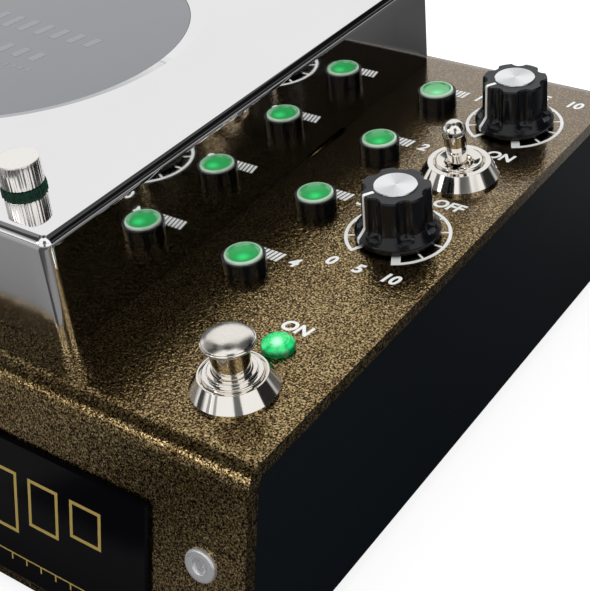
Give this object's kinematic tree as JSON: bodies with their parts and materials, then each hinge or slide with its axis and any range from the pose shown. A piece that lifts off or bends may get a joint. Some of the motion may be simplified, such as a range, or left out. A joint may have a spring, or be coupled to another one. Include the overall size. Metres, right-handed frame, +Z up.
{
  "type": "delay pedal",
  "caption": "Floor-standing echo unit with a magnetic drum under a bright cover, control columns at each side and footswitches in front.",
  "frame": {"origin": "on the surface it stands on, under the middle of the whole unit", "axes": "+X to the player's right, +Y to the back with the sockets, +Z up"},
  "size_m": [0.25, 0.1712, 0.0885],
  "materials": {
    "hammertone_bronze": "gloss hammertone",
    "black_enamel": "satin",
    "mirror_chrome": "mirror",
    "bright_nickel": "polished",
    "smoked_glass": "polished",
    "black_gloss": "gloss",
    "black_plastic": "satin",
    "spun_aluminium": "spun",
    "lit_green": "translucent, lit",
    "stainless_steel": "satin",
    "green_fibre": "matt",
    "black_rubber": "matt",
    "brown_oxide": "satin",
    "zinc_plate": "satin",
    "bearing_bronze": "satin",
    "board_green": "satin"
  },
  "bodies": {
    "case": {"base_tray": "black_enamel", "bearing_housing": "spun_aluminium", "board_spacers": "bearing_bronze", "button_collars": "black_plastic", "case_screws": "stainless_steel", "cover_posts": "stainless_steel", "deck_plate": "zinc_plate", "deck_screws": "stainless_steel", "dress_nuts": "bright_nickel", "drive_motor": "zinc_plate", "footswitch_bodies": "bright_nickel", "head_brackets": "zinc_plate", "hex_nuts": "bright_nickel", "main_board": "board_green", "name_plate": "black_gloss", "phone_sockets": "black_plastic", "potentiometers": "zinc_plate", "power_inlet": "black_plastic", "rear_panel": "hammertone_bronze", "rubber_feet": "black_rubber", "side_boards": "board_green", "spindle_bearings": "bearing_bronze", "status_lamps": "lit_green", "tape_heads": "bright_nickel", "toggle_body": "bright_nickel", "top_shell": "hammertone_bronze"},
    "cover": {"bright_cover": "mirror_chrome", "window_disc": "smoked_glass", "thumb_washers": "green_fibre"},
    "thumbscrew_left": {"thumbscrew_left": "stainless_steel"},
    "thumbscrew_right": {"thumbscrew_right": "stainless_steel"},
    "drum": {"memory_drum": "spun_aluminium", "magnetic_band": "brown_oxide", "drum_spindle": "stainless_steel"},
    "drive": {"motor_shaft": "stainless_steel", "drive_wheel": "bearing_bronze", "drive_tyre": "black_rubber"},
    "toggle": {"toggle_lever": "bright_nickel"},
    "footswitch_left": {"footswitch_button_left": "bright_nickel"},
    "footswitch_right": {"footswitch_button_right": "bright_nickel"},
    "input_level_dial": {"input_level_knob": "black_plastic", "input_level_insert": "spun_aluminium", "input_level_shaft": "stainless_steel"},
    "echo_level_dial": {"echo_level_knob": "black_plastic", "echo_level_insert": "spun_aluminium", "echo_level_shaft": "stainless_steel"},
    "feedback_dial": {"feedback_knob": "black_plastic", "feedback_insert": "spun_aluminium", "feedback_shaft": "stainless_steel"},
    "tone_dial": {"tone_knob": "black_plastic", "tone_insert": "spun_aluminium", "tone_shaft": "stainless_steel"},
    "feedback_1": {"feedback_button_1": "lit_green"},
    "feedback_2": {"feedback_button_2": "lit_green"},
    "feedback_3": {"feedback_button_3": "lit_green"},
    "feedback_4": {"feedback_button_4": "lit_green"},
    "playback_1": {"playback_button_1": "lit_green"},
    "playback_2": {"playback_button_2": "lit_green"},
    "playback_3": {"playback_button_3": "lit_green"},
    "playback_4": {"playback_button_4": "lit_green"}
  },
  "joints": [
    {"name": "cover_lift", "type": "slide", "parent": "case", "child": "cover", "axis": [0, 0, 1], "range_m": [0, 0.06]},
    {"name": "drum_spin", "type": "hinge", "parent": "case", "child": "drum", "pos_m": [0, 0.00274, 0.0705], "axis": [0, 0, 1], "continuous": true},
    {"name": "drive_spin", "type": "hinge", "parent": "case", "child": "drive", "pos_m": [-0.01437, 0.02326, 0.0695], "axis": [0, 0, 1], "continuous": true},
    {"name": "toggle_tilt", "type": "hinge", "parent": "case", "child": "toggle", "pos_m": [0.1088, 0.02944, 0.0563], "axis": [-1, 0, 0], "range_deg": [0, 20]},
    {"name": "thumbscrew_left_turn", "type": "hinge", "parent": "cover", "child": "thumbscrew_left", "pos_m": [-0.0552, -0.05011, 0.0835], "axis": [0, 0, 1], "continuous": true},
    {"name": "thumbscrew_right_turn", "type": "hinge", "parent": "cover", "child": "thumbscrew_right", "pos_m": [0.0552, -0.05011, 0.0835], "axis": [0, 0, 1], "continuous": true},
    {"name": "footswitch_left_press", "type": "slide", "parent": "case", "child": "footswitch_left", "axis": [0, 0, -1], "range_m": [0, 0.0025], "stiffness_N_per_m": 4000, "springref_m": -0.0005},
    {"name": "footswitch_right_press", "type": "slide", "parent": "case", "child": "footswitch_right", "axis": [0, 0, -1], "range_m": [0, 0.0025], "stiffness_N_per_m": 4000, "springref_m": -0.0005},
    {"name": "input_level_turn", "type": "hinge", "parent": "case", "child": "input_level_dial", "pos_m": [-0.1088, 0.05624, 0.0615], "axis": [0, 0, -1], "range_deg": [0, 300]},
    {"name": "echo_level_turn", "type": "hinge", "parent": "case", "child": "echo_level_dial", "pos_m": [-0.1088, 0.00264, 0.0615], "axis": [0, 0, -1], "range_deg": [0, 300]},
    {"name": "feedback_turn", "type": "hinge", "parent": "case", "child": "feedback_dial", "pos_m": [0.1088, 0.05624, 0.0615], "axis": [0, 0, -1], "range_deg": [0, 300]},
    {"name": "tone_turn", "type": "hinge", "parent": "case", "child": "tone_dial", "pos_m": [0.1088, 0.00264, 0.0615], "axis": [0, 0, -1], "range_deg": [0, 300]},
    {"name": "feedback_1_press", "type": "slide", "parent": "case", "child": "feedback_1", "axis": [0, 0, -1], "range_m": [0, 0.0012], "stiffness_N_per_m": 1250, "springref_m": -0.0005},
    {"name": "feedback_2_press", "type": "slide", "parent": "case", "child": "feedback_2", "axis": [0, 0, -1], "range_m": [0, 0.0012], "stiffness_N_per_m": 1250, "springref_m": -0.0005},
    {"name": "feedback_3_press", "type": "slide", "parent": "case", "child": "feedback_3", "axis": [0, 0, -1], "range_m": [0, 0.0012], "stiffness_N_per_m": 1250, "springref_m": -0.0005},
    {"name": "feedback_4_press", "type": "slide", "parent": "case", "child": "feedback_4", "axis": [0, 0, -1], "range_m": [0, 0.0012], "stiffness_N_per_m": 1250, "springref_m": -0.0005},
    {"name": "playback_1_press", "type": "slide", "parent": "case", "child": "playback_1", "axis": [0, 0, -1], "range_m": [0, 0.0012], "stiffness_N_per_m": 1250, "springref_m": -0.0005},
    {"name": "playback_2_press", "type": "slide", "parent": "case", "child": "playback_2", "axis": [0, 0, -1], "range_m": [0, 0.0012], "stiffness_N_per_m": 1250, "springref_m": -0.0005},
    {"name": "playback_3_press", "type": "slide", "parent": "case", "child": "playback_3", "axis": [0, 0, -1], "range_m": [0, 0.0012], "stiffness_N_per_m": 1250, "springref_m": -0.0005},
    {"name": "playback_4_press", "type": "slide", "parent": "case", "child": "playback_4", "axis": [0, 0, -1], "range_m": [0, 0.0012], "stiffness_N_per_m": 1250, "springref_m": -0.0005}
  ],
  "couplings": [
    {"joint": "drive_spin", "follows": "drum_spin", "ratio": 4.15}
  ]
}
